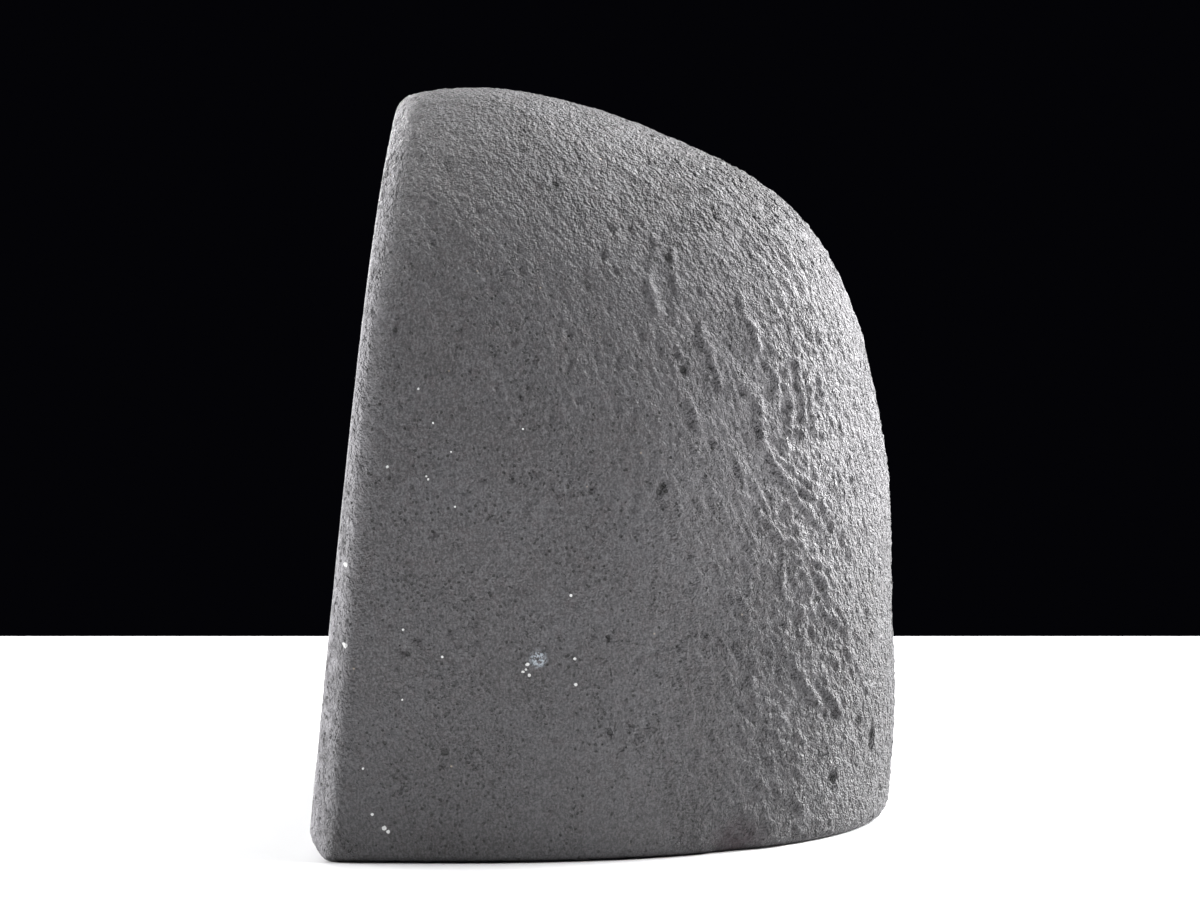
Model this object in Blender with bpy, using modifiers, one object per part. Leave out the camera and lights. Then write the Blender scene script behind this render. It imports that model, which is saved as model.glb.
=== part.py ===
"""An amethyst geode that stands upright on a sawn base.

Metres, Z up. The sawn front with the crystals faces -Y, the rounded back faces +Y, and the origin is at the middle
of the footprint, on the surface that the geode stands on.
"""

import math
import random

import bmesh
import bpy
from mathutils import Matrix, Vector, noise

MM = 0.001

# Size of the rock
HEIGHT = 160 * MM
HALF_WIDTH = 58 * MM
FRONT_Y = -62.9 * MM
FRONT_LEAN = math.radians(6.0)

# Side outline: how far the rock reaches from its heart, a point on the base, every 15 degrees from the back
# over the top
HEART_Y = -31.5 * MM
REACH_STEP = math.radians(15)
SIDE_REACH = [reach * MM for reach in (93, 97.5, 107.5, 127, 149.2, 155.6, 159.9, 155)]

# Roundness of the sections: 2 is an ellipse, and more is fuller at the corners
PLAN_FULLNESS = 2.15
ARCH_FULLNESS = 2.8

# Lumps and hollows that the coat follows
LUMP_HEIGHT = 0.9 * MM
LUMP_SIZE = 34 * MM
BACK_TUCK = 1.4 * MM
BACK_TUCK_HEIGHT = 7 * MM

# Marks in the coat of the +X side, placed by (y, z): a dent with a raised lip, the waves that a brush dragged towards
# the back, and a shallow notch in the foot
DENT_TOP = (7.6 * MM, 125 * MM)
DENT_FOOT = (11.6 * MM, 111 * MM)
DENT_WIDTH = 2.8 * MM
DENT_DEPTH = 0.7 * MM
LIP_SHARE = 0.6
DRAG_TOP = (27 * MM, 104 * MM)
DRAG_FOOT = (51 * MM, 42 * MM)
DRAG_SPREAD = 13 * MM
DRAG_PITCH = 8 * MM
DRAG_HEIGHT = 0.3 * MM
DRAG_WANDER = 4.5
NOTCH_PLACE = (25 * MM, 0)
NOTCH_REACH = 9 * MM
NOTCH_DEPTH = 1.6 * MM

# Rims where the sawn faces meet the coat
RIM_ROUND = 1.5 * MM
FRONT_FOOT_ROUND = 3 * MM
CHAMFER_LEG = 5.5 * MM
CHAMFER_FADES_AT = 95 * MM

# The hollow and what lines it
HOLLOW_CENTRE_HEIGHT = 81 * MM
HOLLOW_HALF_WIDTH = 42 * MM
HOLLOW_HALF_HEIGHT = 62 * MM
HOLLOW_DEPTH = 47 * MM
HOLLOW_FULLNESS = 2.4
HOLLOW_WAVE = 2.2 * MM
HOLLOW_WAVES = 2.3
FIT_GAP = 0.35 * MM
BED_THICKNESS = 5 * MM
FOOT_DEPTH = 3.9 * MM

# The crystals, points of quartz: counts and sizes, then their end faces, with lengths and drops in crystal radii
CRYSTAL_COUNT = 80
CRYSTAL_SEED = 11
CRYSTAL_SCATTER = 0.06
CRYSTAL_RADII = (5.2 * MM, 8.8 * MM)
CRYSTAL_TILT = math.radians(13)
CRYSTAL_LENGTHS = (1.0, 1.75)
END_FACE_SLOPE = math.radians(51.8)
LARGE_FACE_DROPS = (0.15, 0.45)
SMALL_FACE_DROPS = (0, 0.12)

# Mesh density: faces along each edge of the cube that a form is drawn from
ROCK_FACES = 19
HOLLOW_FACES = 8

# Two points nearer than this count as one, and the Booleans' slivers close where they are thinner than this
TOUCH = 0.001 * MM
SLIVER = 0.05 * MM

# Angle, in radians, between the ways to two points of the hollow's wall that show how the wall lies between them
WALL_PROBE = 0.02

UP = Vector((0, 0, 1))
FRONT_NORMAL = Vector((0, -math.cos(FRONT_LEAN), math.sin(FRONT_LEAN)))
FRONT_UP = Vector((0, math.sin(FRONT_LEAN), math.cos(FRONT_LEAN)))
FRONT_FOOT = Vector((0, FRONT_Y, 0))
HEART = Vector((0, HEART_Y, 0))
ROCK_MIDDLE = Vector((0, 0, HEIGHT * 0.45))
HOLLOW_CENTRE = FRONT_FOOT + FRONT_UP * (HOLLOW_CENTRE_HEIGHT / FRONT_UP.z)


# Shape of the coated rock

def side_reach(angle):
    """Reach of the side outline at this angle above straight back, a smooth curve through SIDE_REACH."""
    last = len(SIDE_REACH) - 1
    place = min(angle / REACH_STEP, last)
    start = min(int(place), last - 1)
    t = place - start
    before = SIDE_REACH[abs(start - 1)]
    here = SIDE_REACH[start]
    there = SIDE_REACH[start + 1]
    after = SIDE_REACH[min(start + 2, last)]
    slope_here = (there - before) / 2
    slope_there = (after - here) / 2
    return (
        (2 * t**3 - 3 * t**2 + 1) * here
        + (t**3 - 2 * t**2 + t) * slope_here
        + (3 * t**2 - 2 * t**3) * there
        + (t**3 - t**2) * slope_there
    )


def fills(point):
    """Under 1 inside the smooth rock, 1 on its skin and more outside."""
    from_heart = point - HEART
    across = math.hypot(from_heart.y, from_heart.z)
    angle = math.atan2(abs(from_heart.z), from_heart.y)
    fullness = PLAN_FULLNESS + (ARCH_FULLNESS - PLAN_FULLNESS) * math.sin(angle) ** 2
    return (abs(point.x) / HALF_WIDTH) ** fullness + (across / side_reach(angle)) ** fullness


def skin_point(way):
    """The point of the smooth rock's skin that lies this way from its middle."""
    inside = 0.0
    outside = 2 * HEIGHT
    for _ in range(40):
        middle = (inside + outside) / 2
        if fills(ROCK_MIDDLE + way * middle) < 1:
            inside = middle
        else:
            outside = middle
    return ROCK_MIDDLE + way * outside


def beside_line(point, start, end):
    """Distance in the (y, z) plane from the line between two places, and how far off its course, with its sign."""
    line = Vector(end) - Vector(start)
    from_start = Vector((point.y, point.z)) - Vector(start)
    along = min(1.0, max(0.0, from_start.dot(line) / line.length_squared))
    return (from_start - line * along).length, from_start.cross(line) / line.length


def bump(distance, reach):
    """1 at no distance, falling smoothly to 0 at this reach."""
    return max(0.0, 1 - (distance / reach) ** 2) ** 2


def dent(point):
    distance, _ = beside_line(point, DENT_TOP, DENT_FOOT)
    lip = LIP_SHARE * DENT_DEPTH
    return lip * bump(distance, 2 * DENT_WIDTH) - (lip + DENT_DEPTH) * bump(distance, DENT_WIDTH)


def drag_waves(point):
    distance, off_course = beside_line(point, DRAG_TOP, DRAG_FOOT)
    wander = DRAG_WANDER * noise.noise(point / (3 * DRAG_PITCH))
    return DRAG_HEIGHT * bump(distance, DRAG_SPREAD) * math.sin(math.tau * off_course / DRAG_PITCH + wander)


def marks(point):
    """How far the marks of the +X side stand out here."""
    if point.x < HALF_WIDTH / 5:
        return 0.0
    from_notch = math.hypot(point.y - NOTCH_PLACE[0], point.z - NOTCH_PLACE[1])
    return dent(point) + drag_waves(point) - NOTCH_DEPTH * bump(from_notch, NOTCH_REACH)


def is_marked(point):
    return point.x > HALF_WIDTH / 5 and (
        beside_line(point, DENT_TOP, DENT_FOOT)[0] < 2 * DENT_WIDTH
        or beside_line(point, DRAG_TOP, DRAG_FOOT)[0] < DRAG_SPREAD
    )


def relief(point):
    """How far the coat stands out from the smooth rock here."""
    lumps = LUMP_HEIGHT * noise.noise(point / LUMP_SIZE)
    height = max(0.0, 1 - max(point.z, 0) / BACK_TUCK_HEIGHT)
    backward = min(1.0, max(0.0, point.y / HALF_WIDTH))
    return lumps + marks(point) - BACK_TUCK * backward * height**2


# Drawing and cutting

def cube_sphere(faces):
    """A bmesh ball of radius 1 with square faces."""
    bm = bmesh.new()
    bmesh.ops.create_cube(bm, size=2)
    bmesh.ops.subdivide_edges(bm, edges=bm.edges[:], cuts=faces - 1, use_grid_fill=True)
    for vertex in bm.verts:
        evened = [math.tan(side * math.pi / 4) for side in vertex.co]
        vertex.co = Vector(evened).normalized()
    return bm


def saw(bm, point, normal, clear=0.0):
    """Cuts off what lies on the normal's side of a plane and closes the cut with one flat face.

    Vertices nearer the plane than clear are welded to the cut's rim, so that no slivers stay along it.
    """
    everything = bm.verts[:] + bm.edges[:] + bm.faces[:]
    bmesh.ops.bisect_plane(bm, geom=everything, dist=TOUCH, plane_co=point, plane_no=normal, clear_outer=True)
    on_rim = {vertex for edge in bm.edges if edge.is_boundary for vertex in edge.verts}
    welds = {}
    for vertex in bm.verts:
        if vertex in on_rim or (point - vertex.co).dot(normal) > clear:
            continue
        near = [edge.other_vert(vertex) for edge in vertex.link_edges if edge.other_vert(vertex) in on_rim]
        if near:
            welds[vertex] = min(near, key=lambda other: (other.co - vertex.co).length)
    bmesh.ops.weld_verts(bm, targetmap=welds)
    rim = [edge for edge in bm.edges if edge.is_boundary]
    bmesh.ops.holes_fill(bm, edges=rim, sides=0)


def new_object(name, bm, collection, material=None):
    mesh = bpy.data.meshes.new(name)
    bm.to_mesh(mesh)
    bm.free()
    made = bpy.data.objects.new(name, mesh)
    collection.objects.link(made)
    if material:
        mesh.materials.append(material)
    return made


def as_cutter(cutter):
    cutter.hide_render = True
    cutter.display_type = "WIRE"
    return cutter


def boolean(target, operation, cutter, solver="EXACT"):
    """Adds a Boolean. The crust takes the MANIFOLD solver, because EXACT loses its crystals where many meet."""
    modifier = target.modifiers.new(f"{operation.lower()} {cutter.name}", "BOOLEAN")
    modifier.operation = operation
    modifier.solver = solver
    modifier.object = cutter
    return modifier


def principled(name, colour, roughness, transmission=0.0):
    material = bpy.data.materials.new(name)
    material.use_nodes = True
    shader = material.node_tree.nodes["Principled BSDF"]
    shader.inputs["Base Color"].default_value = (*colour, 1)
    shader.inputs["Roughness"].default_value = roughness
    shader.inputs["Metallic"].default_value = 0.0
    shader.inputs["Transmission Weight"].default_value = transmission
    material.diffuse_color = (*colour, 1)
    return material


# The rock

def rim_widths(bm):
    """Marks the rims for Bevel: the front rim is widest at the base, and the base rim is widest in front."""
    weight = bm.edges.layers.float.new("bevel_weight_edge")
    for edge in bm.edges:
        on_front = all(abs((vertex.co - FRONT_FOOT).dot(FRONT_NORMAL)) < TOUCH for vertex in edge.verts)
        on_base = all(abs(vertex.co.z) < TOUCH for vertex in edge.verts)
        if not (on_front or on_base):
            continue
        width = FRONT_FOOT_ROUND if on_front and on_base else RIM_ROUND
        if not on_base:
            height = (edge.verts[0].co.z + edge.verts[1].co.z) / 2
            width += (CHAMFER_LEG - RIM_ROUND) * max(0.0, 1 - height / CHAMFER_FADES_AT)
        edge[weight] = width / CHAMFER_LEG


def rock(collection, material):
    bm = cube_sphere(ROCK_FACES)
    for vertex in bm.verts:
        vertex.co = skin_point(vertex.co)
    marked = {edge for face in bm.faces if is_marked(face.calc_center_median()) for edge in face.edges}
    bmesh.ops.subdivide_edges(bm, edges=list(marked), cuts=1, use_grid_fill=True)
    for vertex in bm.verts:
        way = (vertex.co - ROCK_MIDDLE).normalized()
        skin = skin_point(way)
        vertex.co = skin + way * relief(skin)
    saw(bm, FRONT_FOOT, FRONT_NORMAL, clear=CHAMFER_LEG + 1 * MM)
    saw(bm, Vector(), -UP, clear=2 * RIM_ROUND)
    rim_widths(bm)
    made = new_object("rock_body", bm, collection, material)
    bevel = made.modifiers.new("worn rims", "BEVEL")
    bevel.limit_method = "WEIGHT"
    bevel.width = CHAMFER_LEG
    bevel.segments = 2
    bevel.use_clamp_overlap = False
    return made


# The hollow and its crystals

def hollow_reach(way):
    """Distance from the hollow's centre, on the front plane, to its wall."""
    total = (
        abs(way.x / HOLLOW_HALF_WIDTH) ** HOLLOW_FULLNESS
        + abs(way.dot(FRONT_NORMAL) / HOLLOW_DEPTH) ** HOLLOW_FULLNESS
        + abs(way.dot(FRONT_UP) / HOLLOW_HALF_HEIGHT) ** HOLLOW_FULLNESS
    )
    return total ** (-1 / HOLLOW_FULLNESS) + HOLLOW_WAVE * noise.noise(way * HOLLOW_WAVES + Vector((3, 1, 7)))


def hollow_form(name, inset, collection):
    """A closed form of the hollow, mirrored in front of the front plane, with its wall moved in."""
    bm = cube_sphere(HOLLOW_FACES)
    for vertex in bm.verts:
        vertex.co = HOLLOW_CENTRE + vertex.co * hollow_reach(vertex.co)
    bm.normal_update()
    moved = [vertex.co - vertex.normal * inset for vertex in bm.verts]
    for vertex, place in zip(bm.verts, moved):
        vertex.co = place
    return as_cutter(new_object(name, bm, collection))


def crystal_mesh(radius, length, rng):
    """One amethyst point along +Z: a six-sided prism under six sloping faces, three of them larger."""
    bm = bmesh.new()
    raised = Matrix.Translation((0, 0, length / 2))
    bmesh.ops.create_cone(bm, cap_ends=True, segments=6, radius1=radius, radius2=radius, depth=length, matrix=raised)
    for face in range(6):
        turn = math.radians(60 * face)
        outward = math.sin(END_FACE_SLOPE)
        normal = Vector((outward * math.sin(turn), outward * math.cos(turn), math.cos(END_FACE_SLOPE)))
        drop = radius * rng.uniform(*(SMALL_FACE_DROPS if face % 2 else LARGE_FACE_DROPS))
        saw(bm, Vector((0, 0, length - drop)), normal)
    return bm


def crystal_places(rng):
    """Points spread over the hollow's wall, with the way out of the wall at each."""
    golden = math.pi * (3 - math.sqrt(5))
    for index in range(2 * CRYSTAL_COUNT):
        height = 1 - (2 * index + 1) / (2 * CRYSTAL_COUNT)
        ring = math.sqrt(1 - height**2)
        turn = golden * index
        way = Vector((ring * math.cos(turn), ring * math.sin(turn), height))
        way += Vector([rng.uniform(-CRYSTAL_SCATTER, CRYSTAL_SCATTER) for _ in range(3)])
        way.normalize()
        wall = HOLLOW_CENTRE + way * hollow_reach(way)
        side_a = way.orthogonal().normalized() * WALL_PROBE
        side_b = way.cross(side_a)
        edge_a = (way + side_a).normalized()
        edge_b = (way + side_b).normalized()
        along_a = HOLLOW_CENTRE + edge_a * hollow_reach(edge_a) - wall
        along_b = HOLLOW_CENTRE + edge_b * hollow_reach(edge_b) - wall
        inward = along_a.cross(along_b).normalized()
        if inward.dot(way) > 0:
            inward.negate()
        yield wall, inward


def apart(crystal, others):
    """Whether the ball around this crystal, a middle and a radius, meets none of the others."""
    middle, radius = crystal
    return all((middle - other).length > radius + other_radius for other, other_radius in others)


def crystal_groups(cutters):
    """The crystals, in a few objects whose crystals stand clear of each other, which makes clean unions."""
    rng = random.Random(CRYSTAL_SEED)
    balls = []
    groups = []
    for wall, inward in crystal_places(rng):
        radius = rng.uniform(*CRYSTAL_RADII)
        length = BED_THICKNESS - FOOT_DEPTH + radius * rng.uniform(*CRYSTAL_LENGTHS)
        lean = Vector([rng.gauss(0, 1) for _ in range(3)]).normalized() * math.tan(CRYSTAL_TILT) * rng.random()
        axis = (inward + lean).normalized()
        foot = wall + inward * FOOT_DEPTH
        if (foot - FRONT_FOOT).dot(FRONT_NORMAL) > radius:
            continue
        crystal = crystal_mesh(radius, length, rng)
        turn = axis.to_track_quat("Z", "Y").to_matrix().to_4x4() @ Matrix.Rotation(rng.uniform(0, math.tau), 4, "Z")
        crystal.transform(Matrix.Translation(foot) @ turn)
        middle = foot + axis * length / 2
        ball = (middle, max((vertex.co - middle).length for vertex in crystal.verts))
        place = next((i for i, group in enumerate(balls) if apart(ball, group)), len(balls))
        if place == len(balls):
            balls.append([])
            groups.append(bmesh.new())
        balls[place].append(ball)
        one = bpy.data.meshes.new("crystal")
        crystal.to_mesh(one)
        crystal.free()
        groups[place].from_mesh(one)
        bpy.data.meshes.remove(one)
    return [as_cutter(new_object(f"crystals {i + 1}", bm, cutters)) for i, bm in enumerate(groups)]


def crust(collection, cutters, material):
    outer = hollow_form("crust outer wall", FIT_GAP, cutters)
    made = bpy.data.objects.new("amethyst_crust", outer.data.copy())
    made.data.materials.append(material)
    collection.objects.link(made)
    boolean(made, "DIFFERENCE", hollow_form("crust inner wall", FIT_GAP + BED_THICKNESS, cutters), "MANIFOLD")
    for group in crystal_groups(cutters):
        boolean(made, "UNION", group, "MANIFOLD")
    boolean(made, "DIFFERENCE", front_block(cutters), "MANIFOLD")
    weld = made.modifiers.new("weld slivers", "WELD")
    weld.merge_threshold = SLIVER
    return made


def front_block(cutters):
    """A block in front of the front plane, which cuts the crust flush with the sawn front."""
    size = 2 * HEIGHT
    bm = bmesh.new()
    bmesh.ops.create_cube(bm, size=size)
    for vertex in bm.verts:
        vertex.co.y -= size / 2
    leaned = Matrix.Translation(HOLLOW_CENTRE) @ Matrix.Rotation(-FRONT_LEAN, 4, "X")
    bm.transform(leaned)
    return as_cutter(new_object("front block", bm, cutters))


def main():
    for old in list(bpy.data.objects):
        bpy.data.objects.remove(old, do_unlink=True)
    parts = bpy.data.collections.new("amethyst_geode")
    cutters = bpy.data.collections.new("cutters")
    bpy.context.scene.collection.children.link(parts)
    bpy.context.scene.collection.children.link(cutters)
    coat = principled("grey cement coat", (0.13, 0.13, 0.135), 0.85)
    amethyst = principled("amethyst", (0.32, 0.16, 0.52), 0.12, transmission=0.8)
    body = rock(parts, coat)
    boolean(body, "DIFFERENCE", hollow_form("hollow", 0.0, cutters))
    crust(parts, cutters, amethyst)


main()
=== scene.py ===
"""Looks of the amethyst geode: its grey cement coat, its sawn front and the crystals in its hollow."""

import itertools
import math
import random

import bmesh
import bpy
import numpy as np
from mathutils import Matrix, Vector, kdtree, noise


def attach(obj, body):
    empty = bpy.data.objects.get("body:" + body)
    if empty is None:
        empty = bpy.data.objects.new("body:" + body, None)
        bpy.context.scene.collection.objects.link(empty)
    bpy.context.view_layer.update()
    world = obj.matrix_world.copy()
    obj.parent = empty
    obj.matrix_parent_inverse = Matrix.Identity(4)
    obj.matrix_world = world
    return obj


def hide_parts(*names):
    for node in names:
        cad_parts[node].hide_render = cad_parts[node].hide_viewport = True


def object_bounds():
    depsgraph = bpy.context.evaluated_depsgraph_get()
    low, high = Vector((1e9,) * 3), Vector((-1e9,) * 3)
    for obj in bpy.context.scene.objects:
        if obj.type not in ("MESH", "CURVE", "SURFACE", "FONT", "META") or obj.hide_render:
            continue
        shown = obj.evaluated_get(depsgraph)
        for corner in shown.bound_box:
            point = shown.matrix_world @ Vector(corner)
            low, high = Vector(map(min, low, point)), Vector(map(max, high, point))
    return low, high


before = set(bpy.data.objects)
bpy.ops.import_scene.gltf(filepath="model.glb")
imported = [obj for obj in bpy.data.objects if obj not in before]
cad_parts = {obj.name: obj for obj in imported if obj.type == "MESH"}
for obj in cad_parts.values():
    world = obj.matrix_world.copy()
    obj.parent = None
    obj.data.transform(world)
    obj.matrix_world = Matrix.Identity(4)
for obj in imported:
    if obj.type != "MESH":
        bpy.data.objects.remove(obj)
cad_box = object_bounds()

MM = 0.001

# The rock, with the same values as the solids
HEIGHT = 160 * MM
HALF_WIDTH = 58 * MM
FRONT_Y = -62.9 * MM
FRONT_LEAN = math.radians(6.0)
HEART_Y = -31.5 * MM
REACH_STEP = math.radians(15)
SIDE_REACH = np.array((93, 97.5, 107.5, 127, 149.2, 155.6, 159.9, 155)) * MM
PLAN_FULLNESS = 2.15
ARCH_FULLNESS = 2.8
LUMP_HEIGHT = 0.9 * MM
LUMP_SIZE = 34 * MM
BACK_TUCK = 1.4 * MM
BACK_TUCK_HEIGHT = 7 * MM
DENT_TOP = (7.6 * MM, 125 * MM)
DENT_FOOT = (11.6 * MM, 111 * MM)
DENT_WIDTH = 2.8 * MM
DENT_DEPTH = 0.7 * MM
LIP_SHARE = 0.6
DRAG_TOP = (27 * MM, 104 * MM)
DRAG_FOOT = (51 * MM, 42 * MM)
DRAG_SPREAD = 13 * MM
DRAG_PITCH = 8 * MM
DRAG_HEIGHT = 0.3 * MM
DRAG_WANDER = 4.5
NOTCH_PLACE = (25 * MM, 0)
NOTCH_REACH = 9 * MM
NOTCH_DEPTH = 1.6 * MM
RIM_ROUND = 1.5 * MM
FRONT_FOOT_ROUND = 3 * MM
CHAMFER_LEG = 5.5 * MM
CHAMFER_FADES_AT = 95 * MM

# The hollow and its crystals, with the same values as the solids
HOLLOW_CENTRE_HEIGHT = 81 * MM
HOLLOW_HALF_WIDTH = 42 * MM
HOLLOW_HALF_HEIGHT = 62 * MM
HOLLOW_DEPTH = 47 * MM
HOLLOW_FULLNESS = 2.4
HOLLOW_WAVE = 2.2 * MM
HOLLOW_WAVES = 2.3
FIT_GAP = 0.35 * MM
SEEN_GAP = 0.03 * MM
BED_THICKNESS = 5 * MM
FOOT_DEPTH = 3.9 * MM
CRYSTAL_COUNT = 80
CRYSTAL_SEED = 11
CRYSTAL_SCATTER = 0.06
CRYSTAL_RADII = (5.2 * MM, 8.8 * MM)
CRYSTAL_TILT = math.radians(13)
CRYSTAL_LENGTHS = (1.0, 1.75)
END_FACE_SLOPE = math.radians(51.8)
LARGE_FACE_DROPS = (0.15, 0.45)
SMALL_FACE_DROPS = (0, 0.12)
WALL_PROBE = 0.02
TOUCH = 0.001 * MM
SAW_DEPTH = 0.04 * MM

# How much more the front rim is worn near the top
UPPER_RIM_WEAR = 3 * MM

# How much of the solids' dent and waves stays under the finer ridges
MARK_SHARE = 0.35

# Fine ridges that a brush left in the coat of the +X side, each a line of (y, z) places in millimetres
RIDGES = (
    ((8.6, 123.9), (7.6, 121.2), (7.5, 117.2), (8.6, 114.1), (9.4, 111.7)),
    ((12.1, 124.3), (12.7, 120.2), (13.3, 116.1)),
    ((17.8, 108.0), (20.2, 103.5), (22.2, 96.8)),
    ((26.2, 114.0), (28.6, 109.5), (30.3, 103.8)),
    ((15.6, 93.8), (17.7, 87.7)),
    ((30.1, 92.2), (30.9, 84.0)),
    ((34.0, 101.0), (34.2, 92.1)),
    ((36.0, 99.6), (36.7, 89.3), (35.8, 83.2)),
    ((38.2, 101.6), (39.8, 91.9), (39.7, 85.1)),
    ((40.5, 98.8), (42.4, 84.9)),
    ((30.5, 86.0), (33.7, 79.8), (38.6, 75.5), (43.6, 72.5), (46.8, 66.6)),
    ((34.3, 81.8), (38.0, 78.4), (43.7, 73.9), (47.5, 68.0), (50.5, 62.0)),
    ((36.5, 75.0), (41.4, 69.9), (45.2, 64.7), (46.8, 62.4)),
    ((38.0, 61.9), (41.5, 57.5), (45.3, 55.7)),
    ((30.1, 70.5), (34.3, 64.8), (39.3, 64.5)),
    ((39.0, 64.5), (40.4, 60.7), (43.9, 58.7)),
    ((38.4, 58.8), (40.4, 56.9), (41.7, 53.5)),
    ((42.6, 56.8), (44.8, 54.9), (45.8, 51.8), (49.5, 46.7)),
    ((44.4, 49.8), (46.7, 47.0), (49.5, 45.4)),
    ((34.8, 59.8), (35.0, 55.3), (36.9, 52.2)),
    ((46.6, 53.4), (49.0, 51.4), (49.9, 47.5)),
    ((38.8, 37.0), (41.5, 32.9), (43.3, 29.3)),
    ((46.3, 39.0), (47.5, 35.9)),
    ((43.7, 33.9), (45.9, 30.6), (47.8, 26.9)),
)
RIDGE_HEIGHT = 0.62 * MM
COAT_INSET = 0.33 * MM
BOX_MARGIN = 0.04 * MM
RIDGE_REACH = 1.15 * MM

# Small pits in the coat
PIT_COUNT = 1500
PIT_SEED = 3

# Spots of the +X side, each (y, z, radius) in millimetres: white specks and chips, a pale smudge, and pits that get
# painted shade
WHITE_SPECKS = (
    (-39.5, 96.3, 0.3), (-18.3, 88.2, 0.22), (-45.7, 80.6, 0.3), (-8.6, 54.6, 0.34), (-46.5, 7.3, 0.55),
    (-45.7, 6.6, 0.4), (-37.8, 78.7, 0.24), (-37.4, 78.1, 0.24), (-36.5, 89.4, 0.22), (-32.8, 83.6, 0.2),
    (-32.0, 72.6, 0.22), (-42.7, 33.6, 0.24), (-42.5, 47.8, 0.24), (-34.6, 42.3, 0.26), (-50.7, 19.5, 0.28),
    (-48.9, 10.1, 0.3), (-7.8, 41.8, 0.34), (-7.6, 36.6, 0.36), (-17.4, 40.7, 0.4), (-18.3, 39.2, 0.34),
    (-17.0, 38.5, 0.34), (-17.7, 39.7, 0.26), (-54.2, 44.5, 0.5), (-54.6, 44.9, 0.3), (-54.2, 60.8, 0.45),
)
SHADED_PITS = (
    (-46.2, 24.8, 0.4), (-34.1, 23.0, 0.8), (-41.5, 42.9, 0.5), (9.9, 76.6, 0.75), (9.2, 75.4, 0.6), (10.6, 75.6, 0.45),
    (14.2, 99.9, 0.75), (-12.0, 137.7, 0.8), (-13.4, 136.9, 0.6), (-44.3, 108.1, 0.6), (8.6, 122.3, 0.6),
    (11.3, 122.7, 0.9), (13.2, 125.3, 0.6), (15.1, 130.1, 0.6), (52.0, 24.9, 0.8), (55.7, 20.7, 0.8), (46.2, 13.0, 1.0),
    (57.9, 7.7, 0.6), (-1.1, 46.2, 0.45), (-1.0, 45.4, 0.35), (-0.7, 26.6, 0.6), (43.5, 53.7, 0.5), (42.6, 52.1, 0.6),
    (41.7, 51.4, 0.5), (44.8, 24.5, 0.6), (42.3, 30.2, 0.5), (20.2, 84.0, 0.4), (-24.0, 103.0, 0.4), (1.5, 66.5, 0.4),
)

# Mesh density
ROCK_FACES = 88
SIDE_PULL = 0.15
WALL_FACES = 30
DRUSE_FACES = 52
SMALL_CRYSTAL_COUNT = 760
SMALL_CRYSTAL_SEED = 5
SMALL_CRYSTAL_RADII = (1.7 * MM, 4.2 * MM)
SMALL_FOOT_DEPTH = 4.1 * MM

# The camera, which looks at the +X side
CAMERA_PLACE = Vector((0.62519, -0.0027, 0.12464))
CAMERA_PITCH = math.radians(4.07)
CAMERA_LENS = 85

UP = Vector((0, 0, 1))
FRONT_NORMAL = Vector((0, -math.cos(FRONT_LEAN), math.sin(FRONT_LEAN)))
FRONT_UP = Vector((0, math.sin(FRONT_LEAN), math.cos(FRONT_LEAN)))
FRONT_FOOT = Vector((0, FRONT_Y, 0))
ROCK_MIDDLE = Vector((0, 0, HEIGHT * 0.45))
HOLLOW_CENTRE = FRONT_FOOT + FRONT_UP * (HOLLOW_CENTRE_HEIGHT / FRONT_UP.z)


# Noise at many points at once

def lattice_noise(points, seed):
    """Smooth noise from about -1 to 1 whose waves are about 1 long."""
    rng = np.random.default_rng(seed)
    order = rng.permutation(256)
    slopes = rng.normal(size=(256, 3))
    slopes /= np.linalg.norm(slopes, axis=1)[:, None]
    cell = np.floor(points).astype(np.int64)
    part = points - cell
    fade = part**3 * (part * (part * 6 - 15) + 10)
    total = np.zeros(len(points))
    for corner in itertools.product((0, 1), repeat=3):
        place = (cell + corner) & 255
        hashed = order[place[:, 0]]
        hashed = order[(hashed + place[:, 1]) & 255]
        hashed = order[(hashed + place[:, 2]) & 255]
        rise = ((part - corner) * slopes[hashed]).sum(1)
        weight = np.where(corner, fade, 1 - fade).prod(1)
        total += weight * rise
    return total * 1.7


def ridged_noise(points, seed):
    """Noise from 0 to 1 with thin crests where it is near 1."""
    return np.clip(1 - 2.2 * np.abs(lattice_noise(points, seed)), 0, 1) ** 2


def solid_noise(points):
    """The noise that the solids have, at many points."""
    return np.array([noise.noise(Vector(point)) for point in points])


def eased(value, start, end):
    """0 before start, 1 after end and a smooth rise between them."""
    t = np.clip((value - start) / (end - start), 0, 1)
    return t * t * (3 - 2 * t)


def bump(distance, reach):
    """1 at no distance, falling smoothly to 0 at this reach."""
    return np.maximum(0, 1 - (distance / reach) ** 2) ** 2


# Shape of the coated rock, at many points at once

def side_reach(angle):
    last = len(SIDE_REACH) - 1
    place = np.minimum(angle / REACH_STEP, last)
    start = np.minimum(place.astype(int), last - 1)
    t = place - start
    before = SIDE_REACH[np.abs(start - 1)]
    here = SIDE_REACH[start]
    there = SIDE_REACH[start + 1]
    after = SIDE_REACH[np.minimum(start + 2, last)]
    slope_here = (there - before) / 2
    slope_there = (after - here) / 2
    return (
        (2 * t**3 - 3 * t**2 + 1) * here
        + (t**3 - 2 * t**2 + t) * slope_here
        + (3 * t**2 - 2 * t**3) * there
        + (t**3 - t**2) * slope_there
    )


def fills(points):
    y = points[:, 1] - HEART_Y
    z = points[:, 2]
    angle = np.arctan2(np.abs(z), y)
    fullness = PLAN_FULLNESS + (ARCH_FULLNESS - PLAN_FULLNESS) * np.sin(angle) ** 2
    sideways = np.abs(points[:, 0]) / HALF_WIDTH
    return sideways**fullness + (np.hypot(y, z) / side_reach(angle)) ** fullness


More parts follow.
